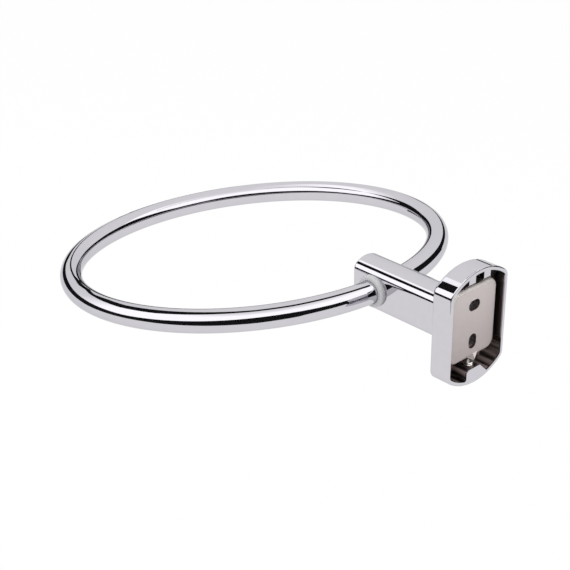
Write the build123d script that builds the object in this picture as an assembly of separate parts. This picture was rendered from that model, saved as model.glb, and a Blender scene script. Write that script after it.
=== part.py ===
"""Towel ring: a hollow wall cup with a short arm, and a round tube ring that turns in two flanged bushes.

Frame: millimetres, origin at the middle of the cup's rim on the wall plane, +Y into the wall,
the arm along -Y, +Z up. The ring is stored where it droops a few degrees below level.
"""
from math import atan2, cos, degrees, radians, sin, sqrt
import os

from build123d import *

os.makedirs("parts", exist_ok=True)

# Ring: bent round tube
TUBE_R = 5.0                # outside radius of the tube
TUBE_WALL = 1.0             # wall of the tube
RING_R = 84.0               # centreline radius of the loop
RING_DROOP = 7.6            # degrees that the loop hangs below level
RING_BEND_R = 25.0          # bend from each straight end into the loop
RING_LEAD = 0.3             # straight tube left outside each flange before the bend
RING_END_GAP = 2.4          # space left between the two ends inside the arm

# Wall cup: round outline cut by two side flats, open to the wall
CUP_R = 25.0                # radius of the arched top and bottom
CUP_HALF_W = 16.8           # distance of each side flat from the middle
CUP_DEPTH = 9.5             # rim to front face
CUP_WALL = 1.6              # side and arched walls
CUP_FLOOR = 2.0             # front wall
CUP_CORNER = 4.0            # rounding where a flat meets an arch
CUP_FRONT_EDGE = 1.3        # rounding round the front face
RIM_EDGE = 0.5              # rounding round the outside of the rim

# Arm: the same outline at a smaller size
ARM_R = 10.5
ARM_HALF_W = 7.2
ARM_CORNER = 4.0
ARM_FRONT = 61.0            # wall plane to the arm's end face
ARM_FRONT_EDGE = 0.9
ARM_ROOT = 0.5              # small fillet where the arm meets the cup
AXIS_Y = -49.75             # turning axis of the ring, level with the arm's middle

# Flanged bushes
FLANGE_R = 7.0
FLANGE_T = 2.0
FLANGE_EDGE = 1.2           # rounding of the flange's outer edge
BUSH_WALL = 1.0             # wall of the sleeve
BUSH_GAP = 1.6              # space left between the two sleeves in the arm
RUN_CLEAR = 0.08            # radial play of the tube in its bush
SEAT_CLEAR = 0.02           # radial play of pieces that are pressed or screwed in

# Wall bracket: shallow pressed pan, its edge rolled away from the wall
PAN_SIDE_GAP = 1.7          # space on each side of the pan inside the cup
PAN_HEAD = 8.2              # top of the cup to the pan's upper edge
PAN_FOOT = 10.5             # bottom of the cup to the pan's lower edge
PAN_BACK = 2.3              # wall plane to the back of the pan, drawn in by its screw
PAN_DEPTH = 3.0
PAN_T = 1.2                 # sheet
PAN_CORNER = 4.5
PAN_ROLL = 1.5              # outside bend radius of the rolled edge
SLOT_W = 4.5
SLOT_L = 6.5
LEVEL_SLOT_DROP = 8.05      # pan's upper edge to the middle of the level slot
UPRIGHT_SLOT_RISE = 7.3     # pan's lower edge to the middle of the upright slot
TAB_HALF_W = 3.6            # pointed tab under the lower slot, tilted towards the wall
TAB_DROP = 2.4
TAB_OUT = 1.3
TAB_TIP = 0.6               # rounding of the tab's point

# Cup's inside: two hanging ribs over the pan and a boss below for the screw
RIB_X = 4.35
RIB_W = 3.8
RIB_BACK = 0.4              # rim plane to the back of each rib
RIB_HANG = 5.0              # top of the cup to the rib's lower corner next to the wall
BOSS_HALF_W = 5.2           # middle to the boss's steep side
BOSS_BEVEL_W = 1.5          # bevel above the steep side
BOSS_BEVEL_DROP = 1.0
BOSS_SLOPE_X = 2.7          # middle to the start of the sloping side
BOSS_RISE = 7.0             # bottom of the cup to the boss's upper face
BOSS_ROOT = 0.9             # fillet along the foot of the steep side

# Grub screw: M4, cone point up, hexagon socket below
SCREW_R = 2.0
SCREW_L = 8.0
SCREW_Y = -3.7
SCREW_TIP_R = 0.5
SCREW_POINT_L = 2.6         # length of the cone point
SCREW_CHAMFER = 0.4
SOCKET_AF = 2.0
SOCKET_DEPTH = 2.5

# Places that follow from the sizes above
PAN_W = 2 * (CUP_HALF_W - CUP_WALL - PAN_SIDE_GAP)
PAN_TOP = CUP_R - PAN_HEAD
PAN_BOTTOM = PAN_FOOT - CUP_R
RIB_HEEL = CUP_R - RIB_HANG
BOSS_TOP = BOSS_RISE - CUP_R


def outline(radius, half_w, corner):
    """Circle cut by two upright flats, the four corners rounded; drawn with its y up the wall."""
    shape = Circle(radius) & Rectangle(2 * half_w, 4 * radius)
    return fillet(shape.vertices(), corner)


def along_arm(sketch, start, length):
    """Stretch a sketch from depth start, measured from the wall plane, towards the arm's end."""
    return extrude(Plane.XZ.offset(start) * sketch, length)


def face_at(solid, depth):
    """Largest flat face that lies at a depth from the wall plane."""
    flats = [f for f in solid.faces().filter_by(Axis.Y) if abs(f.center().Y + depth) < 1e-4]
    return max(flats, key=lambda f: f.area)


def make_post():
    """Cup and arm as one casting, with ribs, screw boss and the cross hole for the bushes."""
    cup = along_arm(outline(CUP_R, CUP_HALF_W, CUP_CORNER), 0, CUP_DEPTH)
    cup = fillet(face_at(cup, CUP_DEPTH).outer_wire().edges(), CUP_FRONT_EDGE)
    cup = fillet(face_at(cup, 0).outer_wire().edges(), RIM_EDGE)

    arm_start = CUP_DEPTH - CUP_FLOOR / 2
    arm = along_arm(outline(ARM_R, ARM_HALF_W, ARM_CORNER), arm_start, ARM_FRONT - arm_start)
    arm = fillet(face_at(arm, ARM_FRONT).outer_wire().edges(), ARM_FRONT_EDGE)
    body = cup + arm
    root = face_at(body, CUP_DEPTH).inner_wires()[0]
    body = fillet(root.edges(), ARM_ROOT)

    # Hollow of the cup, less what stays standing in it
    inner_r = CUP_R - CUP_WALL
    floor = CUP_DEPTH - CUP_FLOOR
    hollow = along_arm(outline(inner_r, CUP_HALF_W - CUP_WALL, CUP_CORNER - CUP_WALL), 0, floor)

    boss = make_face(Polyline(
        (BOSS_HALF_W, -CUP_R), (BOSS_HALF_W, BOSS_TOP - BOSS_BEVEL_DROP), (BOSS_HALF_W - BOSS_BEVEL_W, BOSS_TOP),
        (-BOSS_SLOPE_X, BOSS_TOP), (-BOSS_SLOPE_X - BOSS_RISE, -CUP_R), close=True))
    hollow -= along_arm(boss, 0, floor)
    for side in (-1, 1):
        slope = Polyline(
            (-RIB_BACK, inner_r), (-RIB_BACK, RIB_HEEL), (-RIB_BACK - RIB_HEEL + PAN_TOP, PAN_TOP),
            (-floor, PAN_TOP), (-floor, inner_r), close=True)
        rib = extrude(Plane.YZ.offset(side * RIB_X - RIB_W / 2) * make_face(slope), RIB_W)
        hollow -= rib
    body -= hollow

    # Fillet where the boss's steep side runs into the arched wall
    foot = [e for e in body.edges().filter_by(Axis.Y)
            if abs(e.center().X - BOSS_HALF_W) < 0.01 and e.center().Z < BOSS_TOP - 2 * BOSS_BEVEL_DROP]
    body = fillet(foot, BOSS_ROOT)

    cross_r = TUBE_R + RUN_CLEAR + BUSH_WALL + SEAT_CLEAR
    cross = Pos(0, AXIS_Y, 0) * Rot(0, 90, 0) * Cylinder(cross_r, 4 * ARM_HALF_W)
    tapped = Pos(0, SCREW_Y, (BOSS_TOP - CUP_R) / 2) * Cylinder(SCREW_R + SEAT_CLEAR, CUP_R + BOSS_TOP + 2)
    return body - cross - tapped


def make_ring():
    """Tube swept along a straight end, a bend, the round loop, a bend and a straight end."""
    straight = ARM_HALF_W + FLANGE_T + RING_LEAD
    centre = RING_BEND_R + sqrt((RING_R - RING_BEND_R) ** 2 - straight ** 2)
    turn = degrees(atan2(straight, centre - RING_BEND_R))
    droop = radians(RING_DROOP)
    plane = Plane(origin=(0, AXIS_Y, 0), x_dir=(1, 0, 0), z_dir=(0, sin(droop), -cos(droop)))
    with BuildLine(plane) as path:
        Line((RING_END_GAP / 2, 0), (straight, 0))
        CenterArc((straight, RING_BEND_R), RING_BEND_R, -90, turn)
        CenterArc((0, centre), RING_R, turn - 90, 360 - 2 * turn)
        CenterArc((-straight, RING_BEND_R), RING_BEND_R, 270 - turn, turn)
        Line((-straight, 0), (-RING_END_GAP / 2, 0))
    wire = path.wire()
    end = Plane(origin=wire @ 0, z_dir=wire % 0)
    solid = sweep(end * Circle(TUBE_R), wire)
    bore = sweep(end * Circle(TUBE_R - TUBE_WALL), wire)
    return solid - bore


def make_bush(side):
    """Flanged sleeve turned about the ring's axis; side is 1 or -1 along X."""
    bore_r = TUBE_R + RUN_CLEAR
    sleeve_r = bore_r + BUSH_WALL
    face = ARM_HALF_W
    outer = ARM_HALF_W + FLANGE_T
    profile = Polyline(
        (BUSH_GAP / 2, bore_r), (BUSH_GAP / 2, sleeve_r), (face, sleeve_r), (face, FLANGE_R),
        (outer, FLANGE_R), (outer, bore_r), close=True)
    section = make_face(profile)
    rim = section.vertices().sort_by(Axis.X)[-2:].sort_by(Axis.Y)[-1]
    section = fillet(rim, FLANGE_EDGE)
    bush = revolve(section, Axis.X)
    if side < 0:
        bush = mirror(bush, Plane.YZ)
    return Pos(0, AXIS_Y, 0) * bush


def make_bracket():
    """Pressed pan with a rolled edge, a level slot, an upright slot and a tilted tab below."""
    height = PAN_TOP - PAN_BOTTOM
    middle = (PAN_TOP + PAN_BOTTOM) / 2
    front = PAN_BACK + PAN_T
    pan = along_arm(Pos(0, middle) * RectangleRounded(PAN_W, height, PAN_CORNER), PAN_BACK, PAN_DEPTH)
    pan = fillet(face_at(pan, PAN_BACK).outer_wire().edges(), PAN_ROLL)
    inside = RectangleRounded(PAN_W - 2 * PAN_T, height - 2 * PAN_T, PAN_CORNER - PAN_T)
    dish = along_arm(Pos(0, middle) * inside, front, PAN_DEPTH)
    dish = fillet(face_at(dish, front).outer_wire().edges(), PAN_ROLL - PAN_T)
    level_at = Pos(0, PAN_TOP - LEVEL_SLOT_DROP)
    upright_at = Pos(0, PAN_BOTTOM + UPRIGHT_SLOT_RISE) * Rot(0, 0, 90)
    level = along_arm(level_at * SlotOverall(SLOT_L, SLOT_W), 0, 2 * front)
    upright = along_arm(upright_at * SlotOverall(SLOT_L, SLOT_W), 0, 2 * front)
    pan = pan - dish - level - upright

    # Tab: a tilted strip seen from the side, trimmed to a point seen from the wall
    root = PAN_BOTTOM + PAN_ROLL
    strip = make_face(Polyline(
        (-PAN_BACK - PAN_T, root), (-PAN_BACK, root), (-PAN_BACK + TAB_OUT, root - TAB_DROP),
        (-PAN_BACK + TAB_OUT - PAN_T, root - TAB_DROP), close=True))
    strip = extrude(Plane.YZ.offset(-TAB_HALF_W) * strip, 2 * TAB_HALF_W)
    point = make_face(Polyline((-TAB_HALF_W, root), (TAB_HALF_W, root), (0, root - TAB_DROP), close=True))
    point = fillet(point.vertices().sort_by(Axis.Y)[0], TAB_TIP)
    return pan + (strip & along_arm(point, 0, 2 * front))


def make_screw():
    """Cone point screw whose tip bears on the lower edge of the pan."""
    tip = PAN_BOTTOM - SEAT_CLEAR
    shoulder = tip - SCREW_POINT_L
    end = tip - SCREW_L
    profile = Polyline(
        (0, tip), (SCREW_TIP_R, tip), (SCREW_R, shoulder), (SCREW_R, end + SCREW_CHAMFER),
        (SCREW_R - SCREW_CHAMFER, end), (0, end), close=True)
    body = revolve(Plane.XZ * make_face(profile), Axis.Z)
    socket = extrude(Pos(0, 0, end) * RegularPolygon(SOCKET_AF / 2, 6, major_radius=False), SOCKET_DEPTH)
    return Pos(0, SCREW_Y, 0) * (body - socket)


nodes = {
    "post": make_post(),
    "ring": make_ring(),
    "bush_left": make_bush(-1),
    "bush_right": make_bush(1),
    "wall_bracket": make_bracket(),
    "grub_screw": make_screw(),
}
for name, shape in nodes.items():
    export_step(shape, f"parts/{name}.step")
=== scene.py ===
"""Towel ring: finishes for its plated, moulded and pressed solids, and a studio to show them in."""

from math import cos, radians, sin, tau

import bpy
from bpy.props import FloatProperty, FloatVectorProperty, PointerProperty
from bpy.types import Operator, Panel, PropertyGroup
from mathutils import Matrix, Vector


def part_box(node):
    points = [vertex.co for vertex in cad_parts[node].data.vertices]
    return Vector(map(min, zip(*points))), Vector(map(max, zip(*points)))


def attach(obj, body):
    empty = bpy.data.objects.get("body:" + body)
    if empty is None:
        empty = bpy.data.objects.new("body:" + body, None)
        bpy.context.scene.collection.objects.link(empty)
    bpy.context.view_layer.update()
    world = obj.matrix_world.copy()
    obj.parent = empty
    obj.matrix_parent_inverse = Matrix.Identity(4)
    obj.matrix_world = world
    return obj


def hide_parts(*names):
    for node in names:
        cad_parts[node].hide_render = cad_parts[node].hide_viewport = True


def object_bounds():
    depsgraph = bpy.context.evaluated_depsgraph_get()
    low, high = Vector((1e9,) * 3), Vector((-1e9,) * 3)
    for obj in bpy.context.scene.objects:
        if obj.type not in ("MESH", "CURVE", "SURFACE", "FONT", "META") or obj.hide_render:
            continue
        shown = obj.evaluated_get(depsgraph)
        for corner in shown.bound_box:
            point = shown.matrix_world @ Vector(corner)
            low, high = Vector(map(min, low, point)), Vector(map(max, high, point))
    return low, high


bl_info = {
    "name": "Towel ring",
    "version": (1, 0, 0),
    "blender": (4, 5, 0),
    "location": "3D View > Sidebar > Towel ring",
    "description": "Finishes a wall towel ring and its studio",
    "category": "Object",
}

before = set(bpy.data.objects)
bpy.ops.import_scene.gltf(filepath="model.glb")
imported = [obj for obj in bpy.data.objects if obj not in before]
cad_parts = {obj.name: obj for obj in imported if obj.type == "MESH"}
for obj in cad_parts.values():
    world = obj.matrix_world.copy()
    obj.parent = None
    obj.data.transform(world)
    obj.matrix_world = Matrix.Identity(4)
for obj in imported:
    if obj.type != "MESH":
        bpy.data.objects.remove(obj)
CAD_BOX = [list(corner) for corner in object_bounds()]
SCREW_LOW, SCREW_HIGH = (Vector(corner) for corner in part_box("grub_screw"))
MM = 0.001

# The cup's hollow in millimetres, darkened with painted shade, with the height below which its wall gets
# streaks of painted reflection. The polishing wheel reaches a little way in from the rim, and the pale
# floor a little way up the sides.
CUP_HOLLOW = {"half_width": 15.5, "radius": 23.8, "depth": 7.8, "foot": -13}
WHEEL_REACH = 0.6
FLOOR_BAND = 0.6

# Zones of the bracket, as low and high limits in millimetres: a painted highlight rises with height over
# BRACKET_Z and covers the tab and the rolled edge
BRACKET_Z = -16, 17
TAB_X, TAB_Y = (-4, -0.7), (-2.28, 1)
ROLLED_Y, ROLLED_Z = (-5.4, -2.36), (12.5, 20)
# The slot walls, darkened with painted shade
SLOTS_X, SLOTS_Y, SLOTS_Z = (-3.6, 3.6), (-3.47, -2.33), (-12.5, 12.5)

# Length over which a wave texture of scale 1 repeats
WAVE_LENGTH = tau / 20

# Edges of the screw that bend more than this stay sharp
SHARP_EDGE = radians(25)

# Width of the camera's sensor in millimetres
SENSOR_WIDTH = 36

# The studio is in metres and degrees, and stands round a point just above the ring's middle
STUDIO_MIDDLE = Vector((0, -0.133, 0))

# Floor paper: how far it reaches, and the share of it that is plain white, the rest taking the shadow
PAPER_REACH = 3
PAPER_GLOW = 0.95

# Black card all round: a level apron that turns up into a wall. Each knot has an azimuth, the
# apron's inner radius, and the elevations of the wall's foot and top.
CARD_REACH = 1.1
CARD_STEP = 3
CARD = (
    (-45, 0.20, -1, 1), (-15, 0.25, -1, 5), (0, 0.20, -1, 8), (60, 0.15, -1, 8), (90, 0.18, -1, 18),
    (120, 0.16, -1, 26), (140, 0.16, -1, 30), (157, 0.19, -1, 30), (180, 0.50, -1, 25),
    (195, 1.10, 3, 24), (210, 1.10, 6, 30), (240, 1.10, 7, 33), (258, 0.28, -1, 22),
    (276, 1.10, -1, 12), (303, 1.10, -1, 2), (309, 0.30, -1, 1), (315, 0.20, -1, 1),
)

# Black strip overhead, between the softbox and the front, hung on edge. Each row has the azimuth and
# elevation of its far edge, then those of its near edge.
STRIP_MIDDLE = Vector((0.04, -0.07, 0))
STRIP_FAR, STRIP_NEAR = 0.42, 0.24
STRIP = (
    ((315, -3), (326, -11)), ((325, -4), (339, -17)), ((333, 2), (340, -12)), ((347, 14), (343, 2)),
    ((5, 24), (355, 17)), ((22, 32), (0, 27)), ((36, 45), (358, 41)), ((40, 67), (356, 64)),
    ((50, 82), (350, 72)), ((225, 84), (306, 74)), ((255, 50), (274, 47)),
)

# Softbox: part of a dome that rises behind the card's wall. It fades to paper white overhead, by
# height, and towards the front, by the distance along the way it faces.
SOFTBOX_REACH = 1.3
SOFTBOX_SPAN = -10, 250
SOFTBOX_ROWS = 10
SOFTBOX_FACING = 0.6, 1.0, 0.35
FADE_OVERHEAD = {"From Min": 1.3, "From Max": 1.07}
FADE_FRONT = {"From Min": -1.07, "From Max": -0.5}


def linear(code):
    """sRGB hex colour as linear red, green, blue and alpha."""
    parts = [int(code[i:i + 2], 16) / 255 for i in (1, 3, 5)]
    return (*(c / 12.92 if c <= 0.04045 else ((c + 0.055) / 1.055) ** 2.4 for c in parts), 1.0)


def per_mm(size):
    """Texture scale that gives features of a size in millimetres on coordinates in metres."""
    return 1 / (size * MM)


def add_node(tree, kind, inputs=None, **settings):
    """Adds one node, sets its properties, and sets or links its inputs."""
    made = tree.nodes.new(kind)
    for key, value in settings.items():
        setattr(made, key, value)
    for key, value in (inputs or {}).items():
        if isinstance(value, bpy.types.NodeSocket):
            tree.links.new(value, made.inputs[key])
        else:
            made.inputs[key].default_value = value
    return made


def where(tree, *limits):
    """1 where each socket lies between its two limits in millimetres, and 0 elsewhere."""
    result = 1.0
    for socket, low, high in limits:
        test = add_node(tree, "ShaderNodeMath", {
            0: socket, 1: (low + high) / 2 * MM, 2: (high - low) / 2 * MM}, operation="COMPARE")
        result = add_node(tree, "ShaderNodeMath", {
            0: result, 1: test.outputs[0]}, operation="MULTIPLY").outputs[0]
    return result


def new_material(name):
    """Empty node material with its output, and the piece's own coordinates."""
    material = bpy.data.materials.new(name)
    material.use_nodes = True
    tree = material.node_tree
    tree.nodes.clear()
    output = add_node(tree, "ShaderNodeOutputMaterial")
    place = add_node(tree, "ShaderNodeTexCoord").outputs["Object"]
    return material, tree, output, place


def polished_chrome(name, settings, wave_mm, wave_height_mm, haze_mm, hollow=None):
    """Bright chrome plate over a polished base.

    Mirror bright and a little cool, so it shows the room in crisp bands. Polishing leaves the
    surface a few thousandths of a millimetre uneven, which makes the bands waver, and a faint haze
    where the wheel lifted off. The wheel doesn't reach into a hollow.
    """
    material, tree, output, place = new_material(name)
    haze = add_node(tree, "ShaderNodeTexNoise", {
        "Vector": place, "Scale": per_mm(haze_mm), "Detail": 3.0, "Roughness": 0.6})
    gloss = add_node(tree, "ShaderNodeMapRange", {
        "Value": haze.outputs["Fac"], "From Min": 0.35, "From Max": 0.75,
        "To Min": 0.015, "To Max": settings.chrome_haze})
    tone = add_node(tree, "ShaderNodeMix", {
        "Factor": haze.outputs["Fac"], "A": settings.chrome_light, "B": settings.chrome_deep},
        data_type="RGBA")
    wave = add_node(tree, "ShaderNodeTexNoise", {
        "Vector": place, "Scale": per_mm(wave_mm), "Detail": 1.0, "Roughness": 0.4})
    bump = add_node(tree, "ShaderNodeBump", {
        "Height": wave.outputs["Fac"], "Strength": 1.0, "Distance": wave_height_mm * MM})
    shader = add_node(tree, "ShaderNodeBsdfPrincipled", {
        "Base Color": tone.outputs["Result"], "Metallic": 1.0, "Roughness": gloss.outputs["Result"],
        "Specular Tint": settings.chrome_edge, "Normal": bump.outputs["Normal"]})
    # The hollow gets satin plate with painted shade, a pale matt floor and painted reflection streaks low
    # down
    if hollow:
        satin_hollow_with_painted_shade(tree, place, shader, settings, **hollow)
    tree.links.new(shader.outputs["BSDF"], output.inputs["Surface"])
    return material


def satin_hollow_with_painted_shade(tree, place, shader, settings, half_width, radius, depth, foot):
    """Keeps the polish out of a hollow, given in millimetres.

    The plate stays satin there, and its darker brownish tone is painted shade of the hollow. The floor is
    pale and matt. Below the foot's height the wall shows warm streaks of painted reflection, stretched
    along the hollow's depth.
    """
    axes = add_node(tree, "ShaderNodeSeparateXYZ", {0: place}).outputs
    level = add_node(tree, "ShaderNodeVectorMath", {0: place, 1: (1.0, 0.0, 1.0)}, operation="MULTIPLY")
    spoke = add_node(tree, "ShaderNodeVectorMath", {0: level.outputs["Vector"]}, operation="LENGTH")
    outline = (axes["X"], -half_width, half_width), (spoke.outputs["Value"], -radius, radius)
    deep = axes["Y"], -depth, -WHEEL_REACH
    inside = where(tree, *outline, deep)
    floor = where(tree, *outline, (axes["Y"], -depth, FLOOR_BAND - depth))
    below = where(tree, *outline, deep, (axes["Z"], -radius, foot))

    # Painted reflection: warm streaks on the lower wall of the hollow, stretched along its depth
    drawn = add_node(tree, "ShaderNodeMapping", {"Vector": place, "Scale": (1.0, 0.06, 1.0)})
    streak = add_node(tree, "ShaderNodeTexNoise", {
        "Vector": drawn.outputs["Vector"], "Scale": per_mm(2.6), "Detail": 2.0, "Roughness": 0.6})
    reflection_streak_share = add_node(tree, "ShaderNodeMapRange", {
        "Value": streak.outputs["Fac"], "From Min": 0.42, "From Max": 0.6}).outputs["Result"]
    reflection_streaks = add_node(tree, "ShaderNodeMix", {
        "Factor": reflection_streak_share, "A": settings.chrome_inside_painted_shade, "B": settings.chrome_foot_painted_reflection}, data_type="RGBA")
    matt = add_node(tree, "ShaderNodeMapRange", {"Value": reflection_streak_share, "To Min": 1.0, "To Max": 0.35})

    # Painted shade darkens the satin inside, painted reflection streaks the lower wall, and the floor is
    # pale and matt
    for name, satin, cast, thin in (
            ("Base Color", settings.chrome_inside_painted_shade, settings.chrome_floor, reflection_streaks.outputs["Result"]),
            ("Roughness", settings.chrome_satin, 0.6, 0.3),
            ("Metallic", 1.0, 0.2, matt.outputs["Result"])):
        socket = shader.inputs[name]
        kind = "RGBA" if name == "Base Color" else "FLOAT"
        skin = socket.links[0].from_socket if socket.is_linked else socket.default_value
        for part, value in ((inside, satin), (floor, cast), (below, thin)):
            skin = add_node(tree, "ShaderNodeMix", {
                "Factor": part, "A": skin, "B": value}, data_type=kind).outputs["Result"]
        tree.links.new(skin, socket)


def moulded_acetal(name, settings):
    """Acetal, injection moulded in a finely spark-eroded tool.

    Pale grey with a soft sheen and no sharp reflections. The tool leaves a fine even grain, drawn
    here at 0.35 mm, coarser than the real one, so that it shows at all.
    """
    material, tree, output, place = new_material(name)
    grain = add_node(tree, "ShaderNodeTexNoise", {
        "Vector": place, "Scale": per_mm(0.35), "Detail": 2.0, "Roughness": 0.5})
    cloud = add_node(tree, "ShaderNodeTexNoise", {
        "Vector": place, "Scale": per_mm(4.0), "Detail": 2.0, "Roughness": 0.5})
    tone = add_node(tree, "ShaderNodeMix", {
        "Factor": cloud.outputs["Fac"], "A": settings.bush_light, "B": settings.bush_deep},
        data_type="RGBA")
    sheen = add_node(tree, "ShaderNodeMapRange", {
        "Value": grain.outputs["Fac"], "From Min": 0.3, "From Max": 0.7, "To Min": 0.42, "To Max": 0.47})
    bump = add_node(tree, "ShaderNodeBump", {
        "Height": grain.outputs["Fac"], "Strength": 0.3, "Distance": 0.001 * MM})
    shader = add_node(tree, "ShaderNodeBsdfPrincipled", {
        "Base Color": tone.outputs["Result"], "Roughness": sheen.outputs["Result"], "IOR": 1.48,
        "Normal": bump.outputs["Normal"]})
    tree.links.new(shader.outputs["BSDF"], output.inputs["Surface"])
    return material


def pressed_zinc_steel(name, settings):
    """Mild steel sheet, pressed and dull zinc plated.

    A warm matt grey with a faint cloudiness from the plating bath, the fine pull of the rolled
    sheet along its length and a grain that breaks up every highlight. A painted highlight makes it paler
    towards the bent upper edge and lights the rolled edge and the tab, and painted shade darkens the slot
    walls.
    """
    material, tree, output, place = new_material(name)
    cloud = add_node(tree, "ShaderNodeTexNoise", {
        "Vector": place, "Scale": per_mm(5.0), "Detail": 4.0, "Roughness": 0.55})
    tone = add_node(tree, "ShaderNodeMix", {
        "Factor": cloud.outputs["Fac"], "A": settings.bracket_light, "B": settings.bracket_deep},
        data_type="RGBA")
    axes = add_node(tree, "ShaderNodeSeparateXYZ", {0: place}).outputs
    # Painted highlight: paler towards the top, and full on the tab and the rolled edge
    low, high = BRACKET_Z
    drawn = add_node(tree, "ShaderNodeMapRange", {
        "Value": axes["Z"], "From Min": low * MM, "From Max": high * MM, "To Max": 0.42})
    bright = drawn.outputs["Result"]
    for zone in (where(tree, (axes["X"], *TAB_X), (axes["Y"], *TAB_Y)),
                 where(tree, (axes["Y"], *ROLLED_Y), (axes["Z"], *ROLLED_Z))):
        bright = add_node(tree, "ShaderNodeMath", {0: bright, 1: zone}, operation="MAXIMUM").outputs[0]
    # Painted shade on the slot walls
    sheared = where(tree, (axes["X"], *SLOTS_X), (axes["Y"], *SLOTS_Y), (axes["Z"], *SLOTS_Z))
    for share, shade in ((bright, settings.bracket_painted_highlight), (sheared, settings.bracket_slot_painted_shade)):
        tone = add_node(tree, "ShaderNodeMix", {
            "Factor": share, "A": tone.outputs["Result"], "B": shade}, data_type="RGBA")
    pulled = add_node(tree, "ShaderNodeMapping", {"Vector": place, "Scale": (1.0, 1.0, 0.12)})
    grain = add_node(tree, "ShaderNodeTexNoise", {
        "Vector": pulled.outputs["Vector"], "Scale": per_mm(0.3), "Detail": 3.0, "Roughness": 0.6})
    matt = add_node(tree, "ShaderNodeMapRange", {
        "Value": grain.outputs["Fac"], "From Min": 0.3, "From Max": 0.7, "To Min": 0.42, "To Max": 0.58})
    bump = add_node(tree, "ShaderNodeBump", {
        "Height": grain.outputs["Fac"], "Strength": 0.5, "Distance": 0.005 * MM})
    shader = add_node(tree, "ShaderNodeBsdfPrincipled", {
        "Base Color": tone.outputs["Result"], "Metallic": 0.4, "Roughness": matt.outputs["Result"],
        "Normal": bump.outputs["Normal"]})
    tree.links.new(shader.outputs["BSDF"], output.inputs["Surface"])
    return material


def turned_zinc_steel(name, settings):
    """Free cutting steel, turned and bright zinc plated.

    Brighter and harder than the bracket, with the rings of the cutting tool round its point. They are
    drawn 0.75 mm apart, coarser than the real ones, so that they show at all.
    """
    material, tree, output, place = new_material(name)
    rings = add_node(tree, "ShaderNodeTexWave", {
        "Vector": place, "Scale": WAVE_LENGTH * per_mm(0.75), "Distortion": 0.3, "Detail": 1.0},
        wave_type="BANDS", bands_direction="Z")
    cloud = add_node(tree, "ShaderNodeTexNoise", {
        "Vector": place, "Scale": per_mm(1.2), "Detail": 3.0, "Roughness": 0.6})
    tone = add_node(tree, "ShaderNodeMix", {
        "Factor": cloud.outputs["Fac"], "A": settings.screw_light, "B": settings.screw_deep},
        data_type="RGBA")
    gloss = add_node(tree, "ShaderNodeMapRange", {
        "Value": cloud.outputs["Fac"], "From Min": 0.3, "From Max": 0.7, "To Min": 0.18, "To Max": 0.28})
    bump = add_node(tree, "ShaderNodeBump", {
        "Height": rings.outputs["Fac"], "Strength": 0.4, "Distance": 0.004 * MM})
    shader = add_node(tree, "ShaderNodeBsdfPrincipled", {
        "Base Color": tone.outputs["Result"], "Metallic": 1.0, "Roughness": gloss.outputs["Result"],
        "Normal": bump.outputs["Normal"]})
    tree.links.new(shader.outputs["BSDF"], output.inputs["Surface"])
    return material


def made_by(piece, tree, values):
    """Runs a geometry node group on a piece with named inputs and keeps the plain mesh."""
    modifier = piece.modifiers.new(tree.name, "NODES")
    modifier.node_group = tree
    for socket in tree.interface.items_tree:
        if socket.in_out == "INPUT":
            modifier[socket.identifier] = values[socket.name]
    depsgraph = bpy.context.evaluated_depsgraph_get()
    mesh = bpy.data.meshes.new_from_object(piece.evaluated_get(depsgraph), depsgraph=depsgraph)
    if not mesh.polygons:
        raise RuntimeError(f"{piece.name} came out empty")
    mesh.name = piece.name
    piece.modifiers.remove(modifier)
    piece.data = mesh


def dress(node, material):
    """Puts a finish on a carried-over solid."""
    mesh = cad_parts[node].data
    mesh.materials.clear()
    mesh.materials.append(material)


def colour(name, description, code):
    """Colour property with an sRGB hex default."""
    return FloatVectorProperty(
        name=name, description=description, subtype="COLOR", size=4, min=0, max=1, default=linear(code))


def length(name, description, metres):
    """Length property with a default in metres."""
    return FloatProperty(
        name=name, description=description, default=metres, min=0, subtype="DISTANCE", unit="LENGTH",
        precision=5)


class TowelRingFinishes(PropertyGroup):
    """Colours and gloss of the plated, moulded and pressed pieces."""
    chrome_light: colour("Chrome, light", "Brighter tone of the chrome plate", "#D0CED3")
    chrome_deep: colour("Chrome, deep", "Deeper tone of the chrome plate", "#CAC8CE")
    chrome_edge: colour("Chrome, edge", "Share of the mirror that is left at grazing angles", "#E5E5E7")
    chrome_haze: FloatProperty(
        name="Chrome haze", description="Roughness of the chrome where the polish is faintest",
        default=0.03, min=0, max=1, subtype="FACTOR")
    # Painted shade of the cup's hollow
    chrome_inside_painted_shade: colour(
        "Chrome, inside shade", "Satin plate inside the cup, darkened with painted shade", "#5F5958")
    chrome_floor: colour("Cup floor", "Pale matt tone of the cup's floor", "#DCDADB")
    # Painted reflection, in streaks low in the cup
    chrome_foot_painted_reflection: colour("Cup foot, painted reflection", "Warm streaks of painted reflection in the lower part of the cup", "#A08F8C")
    chrome_satin: FloatProperty(
        name="Chrome satin", description="Roughness of the plate that stays unpolished inside the cup",
        default=0.22, min=0, max=1, subtype="FACTOR")
    bush_light: colour("Bush, light", "Lighter tone of the acetal", "#C4C3C6")
    bush_deep: colour("Bush, deep", "Deeper tone of the acetal", "#B7B6B9")
    bracket_light: colour("Bracket, light", "Lighter tone of the zinc plating", "#B2A7A7")
    bracket_deep: colour("Bracket, deep", "Deeper tone of the zinc plating", "#A69B9B")
    # Painted highlight on the top of the bracket, its rolled edge and its tab
    bracket_painted_highlight: colour("Bracket, painted highlight", "Painted highlight on the bent upper edge, the rolled edge and the tab", "#F6EEEB")
    # Painted shade on the slot walls
    bracket_slot_painted_shade: colour("Bracket, slot shade", "Painted shade on the slot walls", "#4A3E3E")
    screw_light: colour("Screw, light", "Lighter tone of the plated screw", "#EDEAE7")
    screw_deep: colour("Screw, deep", "Deeper tone of the plated screw", "#DAD6D3")


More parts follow.
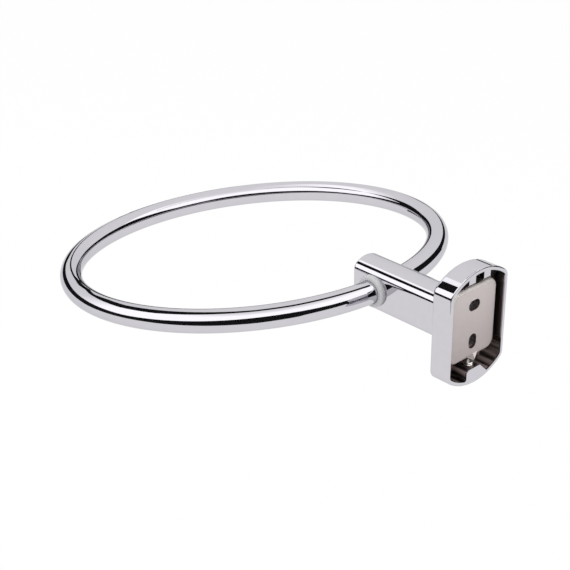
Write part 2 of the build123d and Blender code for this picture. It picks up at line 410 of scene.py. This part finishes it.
class TowelRingThread(PropertyGroup):
    """Sizes of the threaded grub screw."""
    pitch: length("Pitch", "Distance between two turns of the thread", 0.7 * MM)
    depth: length("Depth", "Depth of the thread", 0.4 * MM)
    tip_radius: length("Tip radius", "Radius of the blunt end of the cone point", 0.5 * MM)
    point_length: length("Point length", "Length of the cone point", 2.6 * MM)
    chamfer: length("Chamfer", "Bevel round the driven end", 0.4 * MM)
    socket_width: length("Socket width", "Hexagon socket across its flats", 2.0 * MM)
    socket_depth: length("Socket depth", "Depth of the hexagon socket", 2.5 * MM)


class TowelRingStudio(PropertyGroup):
    """Floor, lights, cards and camera."""
    floor_drop: length(
        "Floor drop", "Height of the origin above the floor, room for the hanging ring", 0.176)
    paper: colour("Paper", "Floor paper", "#F4F4F4")
    card: colour("Card", "Black card and strip that give the chrome its dark lines", "#1A1A1C")
    sky: FloatProperty(
        name="Sky", description="Strength of the soft light from all round", default=0.75, min=0)
    softbox: FloatProperty(
        name="Softbox", description="Brightness of the softbox, where paper white is 1", default=1.6, min=0)
    lens: FloatProperty(
        name="Lens", description="Focal length on a 36 mm wide sensor", default=81.31, min=1, unit="CAMERA")
    camera_at: FloatVectorProperty(
        name="Camera", description="Place of the camera", subtype="XYZ", unit="LENGTH",
        default=(0.3487, 0.2743, 0.2422))
    camera_turn: FloatVectorProperty(
        name="Camera turn", description="Turn of the camera", subtype="EULER", unit="ROTATION",
        default=(radians(63.011), radians(0.761), radians(137.484)))


class TOWELRING_OT_post(Operator):
    """Chrome plate on the cup and arm"""
    bl_idname = "towel_ring.post"
    bl_label = "Finish the post"

    def execute(self, context):
        finishes = context.scene.towel_ring_finishes
        dress("post", polished_chrome(
            "Chrome plated zinc casting", finishes, wave_mm=7.0, wave_height_mm=0.004, haze_mm=2.5,
            hollow=CUP_HOLLOW))
        return {"FINISHED"}


class TOWELRING_OT_ring(Operator):
    """Chrome plate on the bent tube"""
    bl_idname = "towel_ring.ring"
    bl_label = "Finish the ring"

    def execute(self, context):
        finishes = context.scene.towel_ring_finishes
        dress("ring", polished_chrome(
            "Chrome plated brass tube", finishes, wave_mm=9.0, wave_height_mm=0.003, haze_mm=3.5))
        return {"FINISHED"}


class TOWELRING_OT_bushes(Operator):
    """Moulded acetal on both flanged bushes"""
    bl_idname = "towel_ring.bushes"
    bl_label = "Finish the bushes"

    def execute(self, context):
        acetal = moulded_acetal("Moulded grey acetal", context.scene.towel_ring_finishes)
        for node in ("bush_left", "bush_right"):
            dress(node, acetal)
        return {"FINISHED"}


class TOWELRING_OT_bracket(Operator):
    """Dull zinc on the pressed wall bracket"""
    bl_idname = "towel_ring.bracket"
    bl_label = "Finish the wall bracket"

    def execute(self, context):
        finishes = context.scene.towel_ring_finishes
        dress("wall_bracket", pressed_zinc_steel("Pressed zinc plated steel", finishes))
        return {"FINISHED"}


def thread_nodes():
    """Geometry nodes of a cone pointed grub screw, a cylinder drawn in by the thread's rule and bored."""
    tree = bpy.data.node_groups.new("Grub screw", "GeometryNodeTree")
    tree.is_modifier = True
    for name in ("Radius", "Length", "Pitch", "Depth", "Tip Radius", "Point Length", "Chamfer",
                 "Socket Width", "Socket Depth"):
        tree.interface.new_socket(name, in_out="INPUT", socket_type="NodeSocketFloat").subtype = "DISTANCE"
    tree.interface.new_socket("Middle", in_out="INPUT", socket_type="NodeSocketVector")
    tree.interface.new_socket("Material", in_out="INPUT", socket_type="NodeSocketMaterial")
    tree.interface.new_socket("Geometry", in_out="OUTPUT", socket_type="NodeSocketGeometry")
    given = add_node(tree, "NodeGroupInput").outputs

    def work(operation, *values):
        return add_node(tree, "ShaderNodeMath", dict(enumerate(values)), operation=operation).outputs[0]

    blank = add_node(tree, "GeometryNodeMeshCylinder", {
        "Vertices": 64, "Side Segments": 180, "Radius": given["Radius"], "Depth": given["Length"]})
    position = add_node(tree, "GeometryNodeInputPosition").outputs[0]
    axes = add_node(tree, "ShaderNodeSeparateXYZ", {0: position}).outputs
    angle = work("ARCTAN2", axes["Y"], axes["X"])
    high = work("ADD", axes["Z"], work("MULTIPLY", given["Length"], 0.5))

    # Across one pitch the flank falls from the crest to the root and rises again
    turns = work("SUBTRACT", work("DIVIDE", high, given["Pitch"]), work("DIVIDE", angle, tau))
    fall = work("ABSOLUTE", work("MULTIPLY_ADD", work("FRACT", turns), 2.0, -1.0))
    flank = work("SUBTRACT", given["Radius"], work("MULTIPLY", fall, given["Depth"]))

    # The cone point and the bevelled end cut the thread off
    flare = work("DIVIDE", work("SUBTRACT", given["Radius"], given["Tip Radius"]), given["Point Length"])
    cone = work("MULTIPLY_ADD", work("SUBTRACT", given["Length"], high), flare, given["Tip Radius"])
    bevel = work("ADD", work("SUBTRACT", given["Radius"], given["Chamfer"]), high)
    reach = work("MINIMUM", flank, work("MINIMUM", cone, bevel))
    place = add_node(tree, "ShaderNodeCombineXYZ", {
        "X": work("MULTIPLY", reach, work("COSINE", angle)),
        "Y": work("MULTIPLY", reach, work("SINE", angle)),
        "Z": axes["Z"]})
    turned = add_node(tree, "GeometryNodeSetPosition", {
        "Geometry": blank.outputs["Mesh"], "Position": place.outputs["Vector"]})

    # A hexagon's corners lie at its width across the flats over the root of 3
    key = add_node(tree, "GeometryNodeMeshCylinder", {
        "Vertices": 6, "Radius": work("DIVIDE", given["Socket Width"], 3 ** 0.5),
        "Depth": work("MULTIPLY", given["Socket Depth"], 2.0)})
    foot = add_node(tree, "ShaderNodeCombineXYZ", {"Z": work("MULTIPLY", given["Length"], -0.5)})
    key = add_node(tree, "GeometryNodeTransform", {
        "Geometry": key.outputs["Mesh"], "Translation": foot.outputs["Vector"]})
    bored = add_node(tree, "GeometryNodeMeshBoolean", {
        "Mesh 1": turned.outputs["Geometry"], "Mesh 2": key.outputs["Geometry"]}, operation="DIFFERENCE")

    bend = add_node(tree, "GeometryNodeInputMeshEdgeAngle").outputs["Unsigned Angle"]
    smooth = add_node(tree, "GeometryNodeSetShadeSmooth", {
        "Geometry": bored.outputs["Mesh"], "Shade Smooth": work("LESS_THAN", bend, SHARP_EDGE)},
        domain="EDGE")
    seated = add_node(tree, "GeometryNodeTransform", {
        "Geometry": smooth.outputs["Geometry"], "Translation": given["Middle"]})
    real = add_node(tree, "GeometryNodeRealizeInstances", {"Geometry": seated.outputs["Geometry"]})
    dressed = add_node(tree, "GeometryNodeSetMaterial", {
        "Geometry": real.outputs["Geometry"], "Material": given["Material"]})
    add_node(tree, "NodeGroupOutput", {"Geometry": dressed.outputs["Geometry"]})
    return tree


class TOWELRING_OT_screw(Operator):
    """Threaded grub screw with a hexagon socket, in bright zinc"""
    bl_idname = "towel_ring.screw"
    bl_label = "Make the grub screw"

    def execute(self, context):
        thread = context.scene.towel_ring_thread
        size = SCREW_HIGH - SCREW_LOW
        screw = bpy.data.objects.new("threaded_grub_screw", bpy.data.meshes.new("seed"))
        context.scene.collection.objects.link(screw)
        steel = turned_zinc_steel("Turned zinc plated steel", context.scene.towel_ring_finishes)
        # The crests stay a hair inside the solid's box
        crest = 0.499 * size.x
        values = {
            "Radius": crest, "Length": size.z, "Pitch": thread.pitch, "Depth": thread.depth,
            "Tip Radius": thread.tip_radius, "Point Length": thread.point_length, "Chamfer": thread.chamfer,
            "Socket Width": thread.socket_width, "Socket Depth": thread.socket_depth,
            "Middle": (SCREW_LOW + SCREW_HIGH) / 2, "Material": steel,
        }
        made_by(screw, thread_nodes(), values)
        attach(screw, "post")
        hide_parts("grub_screw")
        return {"FINISHED"}


def direction(azimuth, elevation):
    """Unit vector; azimuth 0 points to the front, 90 to the +X side, in degrees."""
    a, e = radians(azimuth), radians(elevation)
    return Vector((sin(a) * cos(e), -cos(a) * cos(e), sin(e)))


def stage_sheet(name, rows, material):
    """Sheet of the studio through rows of points, kept apart from the object."""
    count = len(rows[0])
    points = [tuple(point) for row in rows for point in row]
    faces = [(i * count + j, i * count + j + 1, (i + 1) * count + j + 1, (i + 1) * count + j)
             for i in range(len(rows) - 1) for j in range(count - 1)]
    mesh = bpy.data.meshes.new(name)
    mesh.from_pydata(points, [], faces)
    mesh.materials.append(material)
    sheet = bpy.data.objects.new(name, mesh)
    bpy.context.scene.collection.objects.link(sheet)
    return sheet


def only_reflected(sheet):
    """Leaves a sheet to be seen in the chrome alone."""
    sheet.visible_camera = False
    sheet.visible_diffuse = False
    sheet.visible_transmission = False
    sheet.visible_shadow = False


def seen_directly(tree):
    """1 for rays from the eye, from a mirror or through glass, and 0 for the light itself."""
    rays = add_node(tree, "ShaderNodeLightPath").outputs
    pair = add_node(tree, "ShaderNodeMath", {
        0: rays["Is Camera Ray"], 1: rays["Is Glossy Ray"]}, operation="ADD")
    return add_node(tree, "ShaderNodeMath", {
        0: pair.outputs[0], 1: rays["Is Transmission Ray"]}, operation="ADD", use_clamp=True).outputs[0]


def spaced(knots, step):
    """Rows of numbers filled in between knots, by steps of the first number."""
    rows = []
    for first, last in zip(knots, knots[1:]):
        count = max(1, round(abs(last[0] - first[0]) / step))
        rows += [[f + (l - f) * i / count for f, l in zip(first, last)] for i in range(count)]
    return [*rows, knots[-1]]


def white_paper(studio):
    """Seamless paper, white to the eye and to the chrome, with a soft shadow left on it."""
    material, tree, output, _ = new_material("White paper")
    share = add_node(tree, "ShaderNodeMath", {0: seen_directly(tree), 1: PAPER_GLOW}, operation="MULTIPLY")
    matt = add_node(tree, "ShaderNodeBsdfDiffuse", {"Color": studio.paper})
    glow = add_node(tree, "ShaderNodeEmission", {"Color": linear("#FFFFFF"), "Strength": 1.0})
    mixed = add_node(tree, "ShaderNodeMixShader", {
        0: share.outputs[0], 1: matt.outputs[0], 2: glow.outputs[0]})
    tree.links.new(mixed.outputs[0], output.inputs["Surface"])
    return material


def black_card(studio):
    """Dull black card, which the chrome shows as dark lines."""
    material, tree, output, _ = new_material("Black card")
    matt = add_node(tree, "ShaderNodeBsdfDiffuse", {"Color": studio.card})
    tree.links.new(matt.outputs[0], output.inputs["Surface"])
    return material


def diffuser_cloth(studio):
    """Cloth of the softbox, lit from behind, down to paper white where it fades out."""
    material, tree, output, place = new_material("Lit diffuser cloth")
    height = add_node(tree, "ShaderNodeSeparateXYZ", {0: place}).outputs["Z"]
    facing = add_node(tree, "ShaderNodeVectorMath", {0: place, 1: SOFTBOX_FACING}, operation="DOT_PRODUCT")
    strength = studio.softbox - 1
    for value, limits in ((height, FADE_OVERHEAD), (facing.outputs["Value"], FADE_FRONT)):
        fade = add_node(tree, "ShaderNodeMapRange", {"Value": value, **limits})
        strength = add_node(tree, "ShaderNodeMath", {
            0: strength, 1: fade.outputs["Result"]}, operation="MULTIPLY").outputs[0]
    strength = add_node(tree, "ShaderNodeMath", {0: strength, 1: 1.0}, operation="ADD").outputs[0]
    glow = add_node(tree, "ShaderNodeEmission", {"Color": linear("#FFFFFF"), "Strength": strength})
    tree.links.new(glow.outputs[0], output.inputs["Surface"])
    return material


def white_sky(studio):
    """Even sky, white to the eye and to the chrome, and dimmer as a light."""
    world = bpy.data.worlds.new("Studio")
    world.use_nodes = True
    tree = world.node_tree
    tree.nodes.clear()
    output = add_node(tree, "ShaderNodeOutputWorld")
    strength = add_node(tree, "ShaderNodeMapRange", {
        "Value": seen_directly(tree), "To Min": studio.sky, "To Max": 1.0})
    sky = add_node(tree, "ShaderNodeBackground", {
        "Color": linear("#FFFFFF"), "Strength": strength.outputs["Result"]})
    tree.links.new(sky.outputs[0], output.inputs["Surface"])
    return world


class TOWELRING_OT_stage(Operator):
    """Floor, soft light, black cards and camera"""
    bl_idname = "towel_ring.stage"
    bl_label = "Set the studio"

    def execute(self, context):
        scene = context.scene
        studio = scene.towel_ring_studio
        sides = -PAPER_REACH, PAPER_REACH
        rows = [[(x, y, -studio.floor_drop) for x in sides] for y in sides]
        stage_sheet("floor", rows, white_paper(studio))

        # The apron lies level with the ring's underside
        black = black_card(studio)
        card = spaced(CARD, CARD_STEP)
        apron = STUDIO_MIDDLE + Vector((0, 0, CAD_BOX[0][2]))
        rows = []
        for azimuth, inner, foot, top in card:
            wall = [STUDIO_MIDDLE + CARD_REACH * direction(azimuth, elevation) for elevation in (foot, top)]
            rows.append([apron + inner * direction(azimuth, 0), *wall])
        only_reflected(stage_sheet("horizon_card", rows, black))

        rows = [[STRIP_MIDDLE + STRIP_FAR * direction(*far), STRIP_MIDDLE + STRIP_NEAR * direction(*near)]
                for far, near in STRIP]
        only_reflected(stage_sheet("overhead_strip", rows, black))

        first, last = SOFTBOX_SPAN
        rows = []
        for azimuth, *_, top in card:
            if first <= azimuth <= last:
                rise = (90 - top) / SOFTBOX_ROWS
                rows.append([STUDIO_MIDDLE + SOFTBOX_REACH * direction(azimuth, top + i * rise)
                             for i in range(SOFTBOX_ROWS + 1)])
        softbox = stage_sheet("softbox", rows, diffuser_cloth(studio))
        softbox.visible_camera = False
        softbox.visible_shadow = False
        scene.world = white_sky(studio)

        camera = bpy.data.cameras.new("camera")
        camera.lens = studio.lens
        camera.sensor_width = SENSOR_WIDTH
        holder = bpy.data.objects.new("camera", camera)
        scene.collection.objects.link(holder)
        holder.location = studio.camera_at
        holder.rotation_euler = studio.camera_turn
        scene.camera = holder
        scene.view_settings.view_transform = "Standard"
        return {"FINISHED"}


class TOWELRING_PT_panel(Panel):
    """Finishes and studio of the towel ring"""
    bl_idname = "TOWELRING_PT_panel"
    bl_label = "Towel ring"
    bl_space_type = "VIEW_3D"
    bl_region_type = "UI"
    bl_category = "Towel ring"

    def draw(self, context):
        layout = self.layout
        for group in GROUPS:
            settings = getattr(context.scene, group)
            column = layout.column()
            for name in settings.__annotations__:
                column.prop(settings, name)
        for operator in STEPS:
            layout.operator(operator.bl_idname)


GROUPS = {
    "towel_ring_finishes": TowelRingFinishes,
    "towel_ring_thread": TowelRingThread,
    "towel_ring_studio": TowelRingStudio,
}
STEPS = (
    TOWELRING_OT_post, TOWELRING_OT_ring, TOWELRING_OT_bushes, TOWELRING_OT_bracket, TOWELRING_OT_screw,
    TOWELRING_OT_stage,
)


def register():
    for group, kind in GROUPS.items():
        bpy.utils.register_class(kind)
        setattr(bpy.types.Scene, group, PointerProperty(type=kind))
    for kind in (*STEPS, TOWELRING_PT_panel):
        bpy.utils.register_class(kind)


def unregister():
    for kind in (TOWELRING_PT_panel, *reversed(STEPS)):
        bpy.utils.unregister_class(kind)
    for group, kind in reversed(GROUPS.items()):
        delattr(bpy.types.Scene, group)
        bpy.utils.unregister_class(kind)


def main():
    register()
    bpy.ops.towel_ring.post()
    bpy.ops.towel_ring.ring()
    bpy.ops.towel_ring.bushes()
    bpy.ops.towel_ring.bracket()
    bpy.ops.towel_ring.screw()
    bpy.ops.towel_ring.stage()


if __name__ == "__main__":
    main()
